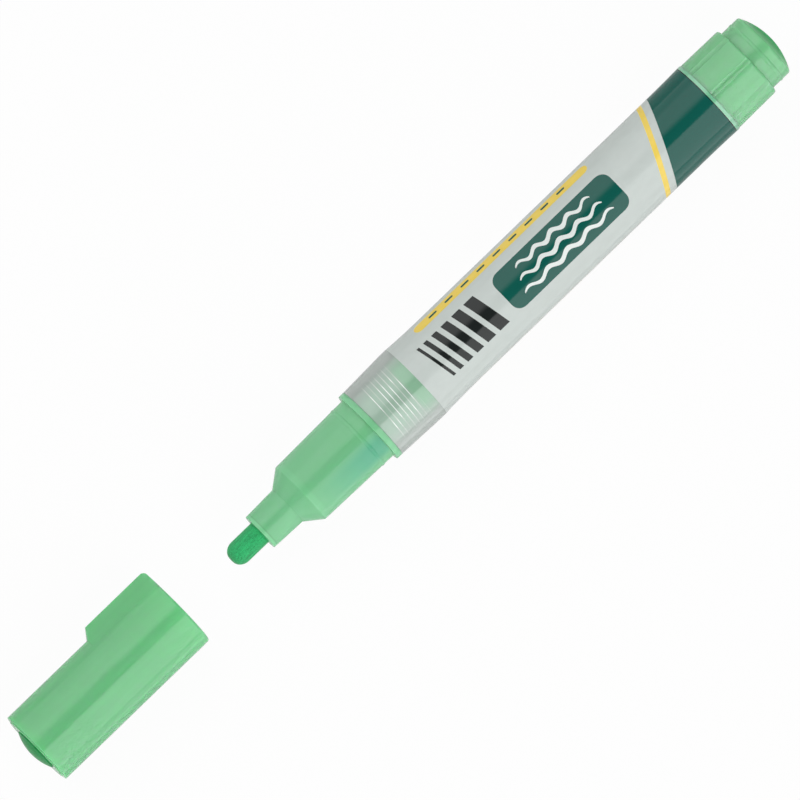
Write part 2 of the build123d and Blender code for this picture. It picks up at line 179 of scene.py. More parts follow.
# The nib's blunt tip and its fibre bundles
NIB_DOME = 2.2 * MM
NIB_TIP_FLAT_SHARE = 0.18
NIB_COLUMNS = 220
NIB_DOME_ROWS = 26
NIB_SIDE_ROWS = 60
NIB_BUNDLE_SHARE = 0.75
NIB_SEED = 7

# The valve's return spring, which the nib's travel shortens against the retainer behind it
SPRING_WIRE_RADIUS = 0.22 * MM
SPRING_TURNS = 7
SPRING_RINGS_PER_TURN = 36
SPRING_COLUMNS = 12

# The photograph's view: its scale, how far the marker is turned in it, and the point at its middle
PHOTO_SIDE_PX = 800
PHOTO_PX_PER_MM = 5.7
VIEW_TURN = math.radians(44.054)
VIEW_TILT = math.radians(-3.5)
VIEW_MIDDLE = Vector((-39.87, -0.39, 0)) * MM
CAMERA_DISTANCE = 6.0
SENSOR_WIDTH = 36

# How far the softboxes stand from the marker, in metres
SOFTBOX_DISTANCE = 1.2

# How bright the fill's foot is beside the fill, and the front card on the fill's side beside the other one
FILL_FOOT_SHARE = 0.65
FRONT_FILL_SHARE = 0.7

# The bounce card beside the marker
CARD_LENGTH = 0.4
CARD_WIDTH = 0.16
CARD_NEAR_EDGE = 23 * MM
CARD_THICKNESS = 1 * MM

# The floor, how white the camera and gloss see it, and how high the room's white rises in gloss
FLOOR_REACH = 4.0
FLOOR_WHITE_SHARE = 0.96
FLOOR_GLOSS_SHARE = 0.2
ROOM_WHITE_RISE = 0.1

# The Mix node's sockets by number: it has one pair for numbers and another for colours
NUMBER_A, NUMBER_B = 2, 3
COLOUR_A, COLOUR_B = 6, 7
COLOUR_OUT = 2


def linear(code):
    """Scene-linear colour of an sRGB hex code."""
    channels = [int(code[place:place + 2], 16) / 255 for place in (1, 3, 5)]
    return tuple(c / 12.92 if c <= 0.04045 else ((c + 0.055) / 1.055) ** 2.4 for c in channels)


def toned(colour, share=1.0):
    """A darker or lighter tone of a colour, with the alpha that a socket wants."""
    return (*(min(1.0, channel * share) for channel in colour), 1.0)


def colour_setting(name, description, code):
    """A colour that a user can change, in the sidebar."""
    return FloatVectorProperty(name=name, description=description, subtype="COLOR", size=3, min=0, max=1,
                               default=linear(code))


def length_setting(name, description, millimetres):
    """A length that a user can change, in the sidebar."""
    return FloatProperty(name=name, description=description, subtype="DISTANCE", unit="LENGTH", precision=5,
                         min=0, default=millimetres * MM)


def level_setting(name, description, level):
    """A brightness that a user can change, in the sidebar."""
    return FloatProperty(name=name, description=description, min=0, default=level)


class MarkerColours(bpy.types.PropertyGroup):
    """Colours of the marker's mouldings, inks and inner pieces."""
    cap: colour_setting("Cap", "Mint green of the moulded cap", "#6FC285")
    # Paler than the cap's mint as painted light, standing in for the plug's brighter lit side
    plug: colour_setting("Rear plug", "Paler mint of the moulded rear plug", "#7AC28D")
    section: colour_setting("Front section", "Milky green of the nib holder", "#84D29C")
    ink_film: colour_setting("Ink film", "Teal of the ink that wets the section's inside", "#4FB795")
    nib: colour_setting("Nib", "Ink-soaked green of the fibre nib", "#2BA864")
    liner: colour_setting("Cap liner", "Deeper green of the cap's inner seal", "#239650")
    barrel: colour_setting("Barrel", "Tint of the hazy clear barrel", "#C0D2C8")
    # Painted shade: the darker grey of the barrel's two sides stands for the dark edges of a clear wall
    cloudy: colour_setting("Cloudy barrel", "Grey of the barrel's cloudier sides", "#B4BEB8")
    # The plug end's deeper green is partly the thick end's own colour and partly painted shade
    dome: colour_setting("Plug dome", "Deeper green of the plug's thick end", "#38B060")
    lip: colour_setting("Barrel lip", "Green of the plug that shows through the barrel's rear lip", "#70BC92")
    # Painted highlights: white lines that stand for the thread's crests catching the light
    thread: colour_setting("Thread lines", "White of the thread's crests in the collar", "#F2F6F4")
    film: colour_setting("Sleeve film", "Pale grey ground of the printed sleeve", "#C3CBC7")
    green_ink: colour_setting("Green ink", "Dark green of the sleeve's band and panels", "#00554A")
    black_ink: colour_setting("Black ink", "Black of the sleeve's bars", "#161C1B")
    yellow_ink: colour_setting("Yellow ink", "Yellow of the sleeve's stripes", "#EFD15C")
    white_ink: colour_setting("White ink", "Chalk white of the sleeve's waves", "#DFE5E2")
    valve: colour_setting("Valve", "Teal of the valve's mouldings", "#3FA99B")
    seal: colour_setting("Seals", "Pale grey of the silicone rings", "#D9DCD8")


class MarkerSizes(bpy.types.PropertyGroup):
    """Sizes of the sleeve's print and of the nib's fibres."""
    panel_length: length_setting("Panel length", "Length of each dark panel along the marker", 28)
    panel_height: length_setting("Panel height", "Height of each dark panel round the marker", 8.2)
    panel_corner: length_setting("Panel corner", "Radius of the panels' corners", 2)
    stripe_width: length_setting("Stripe width", "Width of the long yellow stripes", 2.4)
    chalk_width: length_setting("Chalk width", "Width of the chalk waves", 0.9)
    band_slant: length_setting("Band slant", "How far the rear band's oblique edge runs along the marker", 7)
    film_lap: length_setting("Film lap", "How far the sleeve's film overlaps itself at its seam", 4)
    bar_count: IntProperty(name="Bars", description="How many black bars each group has", min=1, max=12,
                           default=6)
    fibre_width: length_setting("Fibre width", "Width of the fibre bundles that show on the nib", 0.2)
    fibre_depth: length_setting("Fibre depth", "Depth of the grooves between the nib's fibres", 0.035)


class MarkerStage(bpy.types.PropertyGroup):
    """Light levels of the stage."""
    key: level_setting("Key level", "Brightness of the softbox on the lit side", 2.8)
    fill: level_setting("Fill level", "Brightness of the softbox on the other side", 2.15)
    front: level_setting("Front level", "Brightness of the two cards beyond the nib", 1.4)
    bounce: level_setting("Bounce level", "Brightness of the card beside the marker", 1.1)
    ambient: level_setting("Ambient level", "Brightness of the room between the softboxes", 0.28)


# Materials


def add(tree, kind, inputs, **settings):
    """Adds a node with its settings, and sets or links its inputs by name or number."""
    made = tree.nodes.new(kind)
    for name, value in settings.items():
        setattr(made, name, value)
    for name, value in inputs.items():
        if isinstance(value, bpy.types.NodeSocket):
            tree.links.new(value, made.inputs[name])
        else:
            made.inputs[name].default_value = value
    return made


def new_material(name):
    """An empty node material."""
    material = bpy.data.materials.new(name)
    material.use_nodes = True
    material.node_tree.nodes.clear()
    return material, material.node_tree


def along_and_round(tree, place):
    """The station along the marker, and the angle round it from the top to the +Y side."""
    axes = add(tree, "ShaderNodeSeparateXYZ", {"Vector": place})
    turn = add(tree, "ShaderNodeMath", {0: axes.outputs["Y"], 1: axes.outputs["Z"]}, operation="ARCTAN2")
    return axes.outputs["X"], turn.outputs[0]


def cloudy(tree, place, along, across, detail, roughness=0.5):
    """A cloudy pattern whose cells measure these millimetres along the marker and across it."""
    scale = (1 / (along * MM), 1 / (across * MM), 1 / (across * MM))
    cells = add(tree, "ShaderNodeMapping", {"Vector": place, "Scale": scale})
    return add(tree, "ShaderNodeTexNoise", {"Vector": cells.outputs[0], "Scale": 1.0, "Detail": detail,
                                            "Roughness": roughness}).outputs["Fac"]


def two_toned(tree, pattern, colour, darkest, lightest):
    """A colour that a pattern varies between two of its tones."""
    tones = add(tree, "ShaderNodeMix", {"Factor": pattern, COLOUR_A: toned(colour, darkest),
                                        COLOUR_B: toned(colour, lightest)}, data_type="RGBA")
    return tones.outputs[COLOUR_OUT]


def flow_tones(tree, place, colour, streak):
    """The faint streaks that the melt leaves along a moulding, as a colour."""
    return two_toned(tree, cloudy(tree, place, 10 * streak, streak, detail=3.0), colour, 0.94, 1.06)


def moulded_skin(tree, place, grain, grain_depth, roughness):
    """The fine grain of the mould's face: the roughness and the normal that it gives."""
    speckle = cloudy(tree, place, grain, grain, detail=2.0)
    sheen = add(tree, "ShaderNodeMapRange", {"Value": speckle, "To Min": roughness * 0.7,
                                             "To Max": roughness * 1.3})
    skin = add(tree, "ShaderNodeBump", {"Height": speckle, "Distance": grain_depth * MM, "Strength": 1.0})
    return {"Roughness": sheen.outputs[0], "Normal": skin.outputs[0]}


def wall_haze(tree, face_on, edge_on):
    """How much a hazy wall hides: little face on, and more where the eye looks along it."""
    slant = add(tree, "ShaderNodeLayerWeight", {"Blend": 0.5})
    return add(tree, "ShaderNodeMapRange", {"Value": slant.outputs["Facing"], "To Min": face_on,
                                            "To Max": edge_on}).outputs[0]


def moulded_plastic(name, colour, streak, grain, grain_depth, roughness, **finish):
    """Opaque moulded plastic: faint flow streaks along the part and a fine grain."""
    material, tree = new_material(name)
    place = add(tree, "ShaderNodeTexCoord", {}).outputs["Object"]
    shader = add(tree, "ShaderNodeBsdfPrincipled", {
        "Base Color": flow_tones(tree, place, colour, streak),
        **moulded_skin(tree, place, grain, grain_depth, roughness), **finish})
    add(tree, "ShaderNodeOutputMaterial", {"Surface": shader.outputs[0]})
    return material


def cap_polypropylene(colours):
    """Opaque moulded polypropylene: light sinks in and evens out, and a polished mould leaves it glossy."""
    return moulded_plastic(
        "Moulded polypropylene, mint", colours.cap, streak=1.4, grain=0.35, grain_depth=0.002, roughness=0.12,
        **{"IOR": 1.42, **SUNK_LIGHT})


def plug_polypropylene(colours):
    """The cap's polypropylene, paler as painted light for the plug's lit side, with a thick end that is a
    deeper green, partly painted shade, and matt from its mould.
    """
    material, tree = new_material("Moulded polypropylene, mint, matt dome")
    place = add(tree, "ShaderNodeTexCoord", {}).outputs["Object"]
    axes = add(tree, "ShaderNodeSeparateXYZ", {"Vector": place})
    dome = add(tree, "ShaderNodeMapRange", {"Value": axes.outputs["X"], "From Min": DOME_START,
                                            "From Max": DOME_FULL}).outputs[0]
    skin = moulded_skin(tree, place, grain=0.35, grain_depth=0.002, roughness=0.12)
    matt = add(tree, "ShaderNodeMix", {"Factor": dome, NUMBER_A: skin["Roughness"], NUMBER_B: DOME_ROUGHNESS})
    tones = add(tree, "ShaderNodeMix", {"Factor": dome, COLOUR_A: flow_tones(tree, place, colours.plug, 1.4),
                                        COLOUR_B: toned(colours.dome)}, data_type="RGBA")
    shader = add(tree, "ShaderNodeBsdfPrincipled", {
        "Base Color": tones.outputs[COLOUR_OUT], "Roughness": matt.outputs[0], "Normal": skin["Normal"],
        "IOR": 1.45, **SUNK_LIGHT})
    add(tree, "ShaderNodeOutputMaterial", {"Surface": shader.outputs[0]})
    return material


def ink_patch(tree, x, turn):
    """How much of the section's green the ink on its inside covers."""
    behind = add(tree, "ShaderNodeMapRange", {"Value": x, "From Min": INK_START, "From Max": INK_FULL},
                 interpolation_type="SMOOTHSTEP")
    aside = add(tree, "ShaderNodeMath", {0: turn, 1: INK_MIDDLE}, operation="SUBTRACT")
    away = add(tree, "ShaderNodeMath", {0: aside.outputs[0]}, operation="ABSOLUTE")
    patch = add(tree, "ShaderNodeMapRange", {"Value": away.outputs[0], "From Min": INK_FULL_HALF,
                                             "From Max": INK_HALF, "To Min": INK_SHARE, "To Max": 0.0},
                interpolation_type="SMOOTHSTEP")
    before = add(tree, "ShaderNodeMath", {0: x, 1: FLANGE_FRONT}, operation="LESS_THAN")
    smear = add(tree, "ShaderNodeMath", {0: behind.outputs[0], 1: patch.outputs[0]}, operation="MULTIPLY")
    wet = add(tree, "ShaderNodeMath", {0: smear.outputs[0], 1: before.outputs[0]}, operation="MULTIPLY")
    return wet.outputs[0]


def section_polypropylene(colours):
    """Milky polypropylene: painted light makes its rim, shoulder and flange paler, and a patch of the ink
    that wets its inside shows through.
    """
    material, tree = new_material("Moulded polypropylene, milky green")
    place = add(tree, "ShaderNodeTexCoord", {}).outputs["Object"]
    x, turn = along_and_round(tree, place)
    along = add(tree, "ShaderNodeMapRange", {"Value": x, "From Min": SECTION_FRONT, "From Max": COLLAR_FRONT})
    # Painted light: paler bands at the front rim, the shoulder and the flange
    wall = add(tree, "ShaderNodeValToRGB", {"Fac": along.outputs[0]})
    stops = wall.color_ramp.elements
    while len(stops) < len(SECTION_PAINTED_TONES):
        stops.new(1.0)
    for stop, (distance, tone) in zip(stops, SECTION_PAINTED_TONES):
        stop.position = distance * MM / (COLLAR_FRONT - SECTION_FRONT)
        stop.color = toned(colours.section, tone)
    streaked = add(tree, "ShaderNodeMix", {"Factor": 1.0, COLOUR_A: wall.outputs[0],
                                           COLOUR_B: flow_tones(tree, place, (1, 1, 1), 1.6)},
                   data_type="RGBA", blend_type="MULTIPLY")
    tones = add(tree, "ShaderNodeMix", {"Factor": ink_patch(tree, x, turn),
                                        COLOUR_A: streaked.outputs[COLOUR_OUT],
                                        COLOUR_B: toned(colours.ink_film)}, data_type="RGBA")
    spigot = add(tree, "ShaderNodeMath", {0: x, 1: COLLAR_FRONT}, operation="GREATER_THAN")
    haze = wall_haze(tree, face_on=0.78, edge_on=0.97)
    hidden = add(tree, "ShaderNodeMath", {0: spigot.outputs[0], 1: haze}, operation="MAXIMUM")
    shader = add(tree, "ShaderNodeBsdfPrincipled", {
        "Base Color": tones.outputs[COLOUR_OUT], "Alpha": hidden.outputs[0],
        **moulded_skin(tree, place, grain=0.4, grain_depth=0.002, roughness=0.14), "IOR": 1.42,
        "Subsurface Weight": 0.6, "Subsurface Scale": 1.8 * MM, "Subsurface Radius": (0.8, 1.0, 0.8)})
    add(tree, "ShaderNodeOutputMaterial", {"Surface": shader.outputs[0]})
    return material


def painted_thread_glints(tree, place, x, turn, clear):
    """Painted highlights: fine white lines along the collar's thread, two to a pitch, where the wall is clear
    enough.
    """
    per_metre = 2 * math.pi / THREAD_PITCH
    lead = add(tree, "ShaderNodeMath", {0: x, 1: per_metre, 2: -per_metre * THREAD_START},
               operation="MULTIPLY_ADD")
    phase = add(tree, "ShaderNodeMath", {0: lead.outputs[0], 1: turn}, operation="SUBTRACT")
    wave = add(tree, "ShaderNodeMath", {0: phase.outputs[0]}, operation="COSINE")
    crest = add(tree, "ShaderNodeMath", {0: wave.outputs[0]}, operation="ABSOLUTE")
    line = add(tree, "ShaderNodeMapRange", {"Value": crest.outputs[0], "From Min": 0.92, "From Max": 0.99})
    half = (GLINT_REAR - GLINT_FRONT) / 2
    middle = add(tree, "ShaderNodeMath", {0: x, 1: GLINT_FRONT + half}, operation="SUBTRACT")
    away = add(tree, "ShaderNodeMath", {0: middle.outputs[0]}, operation="ABSOLUTE")
    reach = add(tree, "ShaderNodeMapRange", {"Value": away.outputs[0], "From Min": half - GLINT_FADE,
                                             "From Max": half, "To Min": GLINT_SHARE, "To Max": 0.0})
    glints = cloudy(tree, place, 0.8, 5, detail=1.0)
    caught = add(tree, "ShaderNodeMapRange", {"Value": glints, "From Min": 0.34, "From Max": 0.5,
                                              "To Min": 0.35})
    strength = line
    for share in (reach, clear, caught):
        strength = add(tree, "ShaderNodeMath", {0: strength.outputs[0], 1: share.outputs[0]},
                       operation="MULTIPLY")
    return strength.outputs[0]


def barrel_polypropylene(colours):
    """Clarified polypropylene: a hazy wall, glossy on both faces, turned a darker grey on its two sides by
    painted shade.
    Between them painted highlights for the thread's crests, the section's green and its seat show through."""
    material, tree = new_material("Clarified polypropylene")
    place = add(tree, "ShaderNodeTexCoord", {}).outputs["Object"]
    x, turn = along_and_round(tree, place)
    # Painted shade: away from the top and the bottom, the wall turns to the darker grey of its sides
    twice = add(tree, "ShaderNodeMath", {0: turn, 1: 2.0}, operation="MULTIPLY")
    swell = add(tree, "ShaderNodeMath", {0: twice.outputs[0]}, operation="COSINE")
    clear = add(tree, "ShaderNodeMapRange", {"Value": swell.outputs[0], "From Min": -0.25, "From Max": 0.6})
    # Painted highlights along the thread's crests, white in the wall's colour
    lines = painted_thread_glints(tree, place, x, turn, clear)
    # Behind the origin, in the middle of the sleeve, only the rear lip is bare
    lip = add(tree, "ShaderNodeMath", {0: x, 1: 0.0}, operation="GREATER_THAN").outputs[0]
    seat = add(tree, "ShaderNodeMapRange", {"Value": x, "From Min": SEAT_START, "From Max": SEAT_FULL,
                                            "To Min": SEAT_SHARES[0], "To Max": SEAT_SHARES[1]},
               interpolation_type="SMOOTHSTEP")
    inside = add(tree, "ShaderNodeMix", {"Factor": seat.outputs[0],
                                         COLOUR_A: flow_tones(tree, place, colours.barrel, 1.8),
                                         COLOUR_B: toned(colours.section)}, data_type="RGBA")
    tones = add(tree, "ShaderNodeMix", {"Factor": clear.outputs[0],
                                        COLOUR_A: flow_tones(tree, place, colours.cloudy, 1.8),
                                        COLOUR_B: inside.outputs[COLOUR_OUT]}, data_type="RGBA")
    for share, colour in ((lines, colours.thread), (lip, colours.lip)):
        tones = add(tree, "ShaderNodeMix", {"Factor": share, COLOUR_A: tones.outputs[COLOUR_OUT],
                                            COLOUR_B: toned(colour)}, data_type="RGBA")
    filled = add(tree, "ShaderNodeMath", {0: lines, 1: lip}, operation="MAXIMUM")
    haze = wall_haze(tree, face_on=0.6, edge_on=0.97)
    hidden = add(tree, "ShaderNodeMath", {0: filled.outputs[0], 1: haze}, operation="MAXIMUM")
    shader = add(tree, "ShaderNodeBsdfPrincipled", {
        "Base Color": tones.outputs[COLOUR_OUT], "Alpha": hidden.outputs[0],
        **moulded_skin(tree, place, grain=0.5, grain_depth=0.002, roughness=0.14),
        "IOR": 1.5, "Coat Weight": 0.8, "Coat Roughness": 0.1, "Coat IOR": 1.5})
    add(tree, "ShaderNodeOutputMaterial", {"Surface": shader.outputs[0]})
    return material


def liner_polyethylene(colours):
    """Soft waxy polyethylene, a deeper green than the cap round it."""
    return moulded_plastic(
        "Moulded polyethylene, deep green", colours.liner, streak=1.2, grain=0.3, grain_depth=0.004,
        roughness=0.3, **{"IOR": 1.51, "Specular IOR Level": 0.1, "Subsurface Weight": 0.3,
                          "Subsurface Scale": 0.8 * MM})


def valve_acetal(colours):
    """Dense satin acetal of the valve's small mouldings."""
    return moulded_plastic(
        "Moulded acetal, teal", colours.valve, streak=0.8, grain=0.2, grain_depth=0.004, roughness=0.38,
        **{"IOR": 1.48})


def seal_silicone(colours):
    """Pale silicone rubber: dull, and soft to the light."""
    return moulded_plastic(
        "Moulded silicone, pale", colours.seal, streak=0.6, grain=0.12, grain_depth=0.006, roughness=0.55,
        **{"IOR": 1.41, "Subsurface Weight": 0.4, "Subsurface Scale": 0.6 * MM})


def shrink_film(name, colour):
    """Printed shrink film: a faintly mottled ink under the clear gloss of the film."""
    material, tree = new_material(name)
    place = add(tree, "ShaderNodeTexCoord", {}).outputs["Object"]
    mottle = cloudy(tree, place, 2.5, 1.2, detail=4.0)
    sheen = add(tree, "ShaderNodeMapRange", {"Value": mottle, "To Min": 0.08, "To Max": 0.16})
    ripple = add(tree, "ShaderNodeBump", {"Height": mottle, "Distance": 0.003 * MM, "Strength": 1.0})
    shader = add(tree, "ShaderNodeBsdfPrincipled", {
        "Base Color": two_toned(tree, mottle, colour, 0.95, 1.05), "Roughness": sheen.outputs[0],
        "Normal": ripple.outputs[0], "IOR": 1.33})
    add(tree, "ShaderNodeOutputMaterial", {"Surface": shader.outputs[0]})
    return material


def nib_fibre(colours, sizes):
    """Pressed polyester fibre soaked with ink: lengthwise streaks, dull, with a soft nap at the edges."""
    material, tree = new_material("Pressed polyester fibre, ink green")
    width = sizes.fibre_width / MM
    place = add(tree, "ShaderNodeTexCoord", {}).outputs["Object"]
    fibres = cloudy(tree, place, 12 * width, width, detail=3.0, roughness=0.65)
    speckle = cloudy(tree, place, 1.5 * width, width, detail=3.0, roughness=0.7)
    pressed = add(tree, "ShaderNodeMix", {"Factor": 0.5, NUMBER_A: fibres, NUMBER_B: speckle})
    tones = add(tree, "ShaderNodeValToRGB", {"Fac": pressed.outputs[0]})
    for stop, position, tone in zip(tones.color_ramp.elements, (0.38, 0.62), (0.66, 1.4)):
        stop.position = position
        stop.color = toned(colours.nib, tone)
    nap = add(tree, "ShaderNodeBump", {"Height": fibres, "Distance": 0.05 * MM, "Strength": 0.7})
    shader = add(tree, "ShaderNodeBsdfPrincipled", {
        "Base Color": tones.outputs[0], "Roughness": 0.82, "Normal": nap.outputs[0], "IOR": 1.5,
        "Specular IOR Level": 0.3, "Sheen Weight": 0.25, "Sheen Roughness": 0.5})
    add(tree, "ShaderNodeOutputMaterial", {"Surface": shader.outputs[0]})
    return material


def steel(name, code, streak, roughness):
    """Bare stainless steel, with the fine marks that its making leaves."""
    material, tree = new_material(name)
    place = add(tree, "ShaderNodeTexCoord", {}).outputs["Object"]
    marks = cloudy(tree, place, 4 * streak, streak, detail=4.0)
    gloss = add(tree, "ShaderNodeMapRange", {"Value": marks, "To Min": roughness * 0.6,
                                             "To Max": roughness * 1.4})
    shader = add(tree, "ShaderNodeBsdfPrincipled", {
        "Base Color": two_toned(tree, marks, linear(code), 0.88, 1.1), "Roughness": gloss.outputs[0],
        "Metallic": 1.0})
    add(tree, "ShaderNodeOutputMaterial", {"Surface": shader.outputs[0]})
    return material


def seen_in_gloss(tree, path):
    """Whether a ray comes by way of gloss or glass."""
    gloss, glass = path.outputs["Is Glossy Ray"], path.outputs["Is Transmission Ray"]
    return add(tree, "ShaderNodeMath", {0: gloss, 1: glass}, operation="MAXIMUM").outputs[0]


def studio_floor():
    """Matt white paper: white to the camera apart from a soft shadow, which gloss shows more deeply."""
    material, tree = new_material("Studio paper, white")
    path = add(tree, "ShaderNodeLightPath", {})
    paper = add(tree, "ShaderNodeBsdfDiffuse", {"Color": toned(linear("#DCDCDC"))})
    white = add(tree, "ShaderNodeEmission", {"Color": (1, 1, 1, 1), "Strength": 1.0})
    seen = add(tree, "ShaderNodeMath", {0: path.outputs["Is Camera Ray"], 1: FLOOR_WHITE_SHARE},
               operation="MULTIPLY")
    share = add(tree, "ShaderNodeMath", {0: seen_in_gloss(tree, path), 1: FLOOR_GLOSS_SHARE,
                                         2: seen.outputs[0]}, operation="MULTIPLY_ADD")
    mixed = add(tree, "ShaderNodeMixShader", {"Fac": share.outputs[0], 1: paper.outputs[0],
                                              2: white.outputs[0]})
    add(tree, "ShaderNodeOutputMaterial", {"Surface": mixed.outputs[0]})
    return material


# Mesh helpers


def dress(name, material):
    """Puts one material on a CAD node, as it is."""
    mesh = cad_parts[name].data
    mesh.materials.clear()
    mesh.materials.append(material)


def new_piece(name, points, faces, materials):
    """A mesh object in the scene, smooth shaded."""
    mesh = bpy.data.meshes.new(name)
    mesh.from_pydata(points, [], faces)
    for material in materials:
        mesh.materials.append(material)
    mesh.shade_smooth()
    piece = bpy.data.objects.new(name, mesh)
    bpy.context.scene.collection.objects.link(piece)
    return piece


def ring_faces(rings, around):
    """Quads between the rings of a tube, whose points are listed ring by ring."""
    faces = []
    for first in range(0, (rings - 1) * around, around):
        for column in range(around):
            after = (column + 1) % around
            faces.append((first + column, first + after, first + around + after, first + around + column))
    return faces


def node_radius(name, station):
    """Outer radius of a CAD node's ring of points at a station."""
    points = np.array([point.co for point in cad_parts[name].data.vertices])
    ring = points[np.abs(points[:, 0] - station) < SAME_STATION]
    return float(np.hypot(ring[:, 1], ring[:, 2]).max())


# The printed sleeve


class Sleeve:
    """The sleeve's rolled-out sheet: x runs along the marker and w round it, from the top to the +Y side."""

    def __init__(self, sizes):
        self.front_radius = node_radius("label_sleeve", SLEEVE_FRONT)
        self.rear_radius = node_radius("label_sleeve", SLEEVE_REAR)
        self.grip_radius = node_radius("label_sleeve", SLEEVE_FRONT + SLEEVE_EASE)
        self.start = SLEEVE_SEAM_ANGLE * self.grip_radius
        self.end = self.start + 2 * math.pi * self.grip_radius
        self.lap = sizes.film_lap

    def radius(self, x):
        """Outer radius of the sleeve at a station."""
        front = max(0.0, SLEEVE_FRONT + SLEEVE_EASE - x) / SLEEVE_EASE
        rear = max(0.0, x - SLEEVE_REAR + SLEEVE_EASE) / SLEEVE_EASE
        front_rise = (self.front_radius - self.grip_radius) * front ** 2
        return self.grip_radius + front_rise + (self.rear_radius - self.grip_radius) * rear ** 2

    def lift(self, w):
        """How far the film stands up where it laps over its own edge."""
        share = min(1.0, max(0.0, (w - self.end + self.lap) / SEAM_RAMP))
        return SLEEVE_FILM * share ** 2 * (3 - 2 * share)

    def point(self, x, w, depth=0.0):
        """The place in space of a point of the sheet."""
        angle = w / self.grip_radius
        radius = self.radius(x) + self.lift(w) - depth
        return Vector((x, radius * math.sin(angle), radius * math.cos(angle)))

    def normal(self, x, w):
        """The way that the sheet faces at a point."""
        angle = w / self.grip_radius
        slope = (self.radius(x + SLOPE_STEP) - self.radius(x - SLOPE_STEP)) / (2 * SLOPE_STEP)
        return Vector((-slope, math.sin(angle), math.cos(angle))).normalized()

    def stations(self):
        """Stations of the sheet's rows, closer together in the flares."""
        flared = np.linspace(0, SLEEVE_EASE, SLEEVE_ROWS_FLARED, endpoint=False)
        straight = np.linspace(SLEEVE_FRONT + SLEEVE_EASE, SLEEVE_REAR - SLEEVE_EASE, SLEEVE_ROWS_STRAIGHT)
        return [*(SLEEVE_FRONT + flared), *straight, *(SLEEVE_REAR - flared[::-1])]

    def columns(self):
        """Places of the sheet's columns round the marker, from seam to seam."""
        return list(np.linspace(self.start, self.end, SLEEVE_COLUMNS + 1))


def rounded_panel(x0, x1, w0, w1, corner, steps=8):
    """Outline of a rectangle with round corners."""
    outline = []
    for x, w, first in ((x1, w1, 0), (x0, w1, 90), (x0, w0, 180), (x1, w0, 270)):
        middle_x = x - math.copysign(corner, x - (x0 + x1) / 2)
        middle_w = w - math.copysign(corner, w - (w0 + w1) / 2)
        for step in range(steps + 1):
            turn = math.radians(first + 90 * step / steps)
            outline.append((middle_x + corner * math.cos(turn), middle_w + corner * math.sin(turn)))
    return outline


def slanted_bar(x, width, w0, w1, slant):
    """Outline of a bar that leans along the marker."""
    return [(x, w0), (x + width, w0), (x + width + slant, w1), (x + slant, w1)]


def chalk_wave(x0, x1, w, width, steps=64):
    """Outline of a wavy chalk line that thins out towards its two ends."""
    upper, lower = [], []
    for step in range(steps + 1):
        share = step / steps
        x = x0 + (x1 - x0) * share
        middle = w + WAVE_SWING * math.sin(2 * math.pi * WAVE_COUNT * share)
        fullness = WAVE_END_SHARE + (1 - WAVE_END_SHARE) * math.sin(math.pi * share) ** 0.5
        upper.append((x, middle + width / 2 * fullness))
        lower.append((x, middle - width / 2 * fullness))
    return lower + upper[::-1]


def print_design(sleeve, sizes):
    """The sleeve's generic print and a painted shadow line along its rear edge: (ink, outline) pairs, later
    ones over earlier ones.
    """
    columns = sleeve.columns()
    slant = sizes.band_slant / 2
    edge = [(BAND_EDGE + slant * math.sin(w / sleeve.grip_radius), w) for w in columns]
    line_front = [(x - BAND_LINE_GAP - BAND_LINE_WIDTH, w) for x, w in edge]
    line_rear = [(x - BAND_LINE_GAP, w) for x, w in edge]
    # A painted shadow line in black ink where the film's rear edge is cut off
    shadow_line_front = [(SLEEVE_REAR - SHADOW_LINE_WIDTH, w) for w in columns]
    rear = [(SLEEVE_REAR, w) for w in columns]
    bands = (("yellow", line_front, line_rear), ("green", edge, rear), ("black", shadow_line_front, rear))
    shapes = [(ink, front + back[::-1]) for ink, front, back in bands]
    half_turn = math.pi * sleeve.grip_radius
    for middle in (0.0, half_turn):
        shapes += panel_design(middle, sizes)
    return shapes


def panel_design(middle, sizes):
    """One side's motifs: leaning black bars, a panel with chalk waves and a yellow stripe with dashes."""
    shapes = []
    low, high = middle - sizes.panel_height / 2, middle + sizes.panel_height / 2
    x = BARS_FRONT
    for index in range(sizes.bar_count):
        width = BAR_WIDTH + BAR_WIDTH_STEP * index
        shapes.append(("black", slanted_bar(x, width, low, high, BAR_LEAN)))
        x += width + BAR_GAP
    panel_front = x + PANEL_GAP
    panel_rear = panel_front + sizes.panel_length
    shapes.append(("green", rounded_panel(panel_front, panel_rear, low, high, sizes.panel_corner)))
    for row in (-1, 0, 1):
        inset = WAVE_INSET + WAVE_INSET_STEP * (row + 1)
        shapes.append(("white", chalk_wave(panel_front + inset, panel_rear - inset, middle + row * WAVE_PITCH,
                                           sizes.chalk_width)))
    stripe = high + STRIPE_GAP
    half = sizes.stripe_width / 2
    shapes.append(("yellow", rounded_panel(STRIPE_FRONT, STRIPE_REAR, stripe - half, stripe + half,
                                           half * STRIPE_ROUND_SHARE)))
    for dash in range(DASH_COUNT):
        start = DASH_FRONT + DASH_PITCH * dash
        shapes.append(("green", rounded_panel(start, start + DASH_LENGTH, stripe - DASH_WIDTH / 2,
                                              stripe + DASH_WIDTH / 2, DASH_CORNER, steps=4)))
    return shapes


def divided(outline, step):
    """An outline with more points wherever it runs round the marker, so that it follows the curve."""
    points = []
    for (x0, w0), (x1, w1) in zip(outline, outline[1:] + outline[:1]):
        count = max(1, math.ceil(abs(w1 - w0) / step))
        points += [(x0 + (x1 - x0) * share, w0 + (w1 - w0) * share) for share in np.arange(count) / count]
    return points


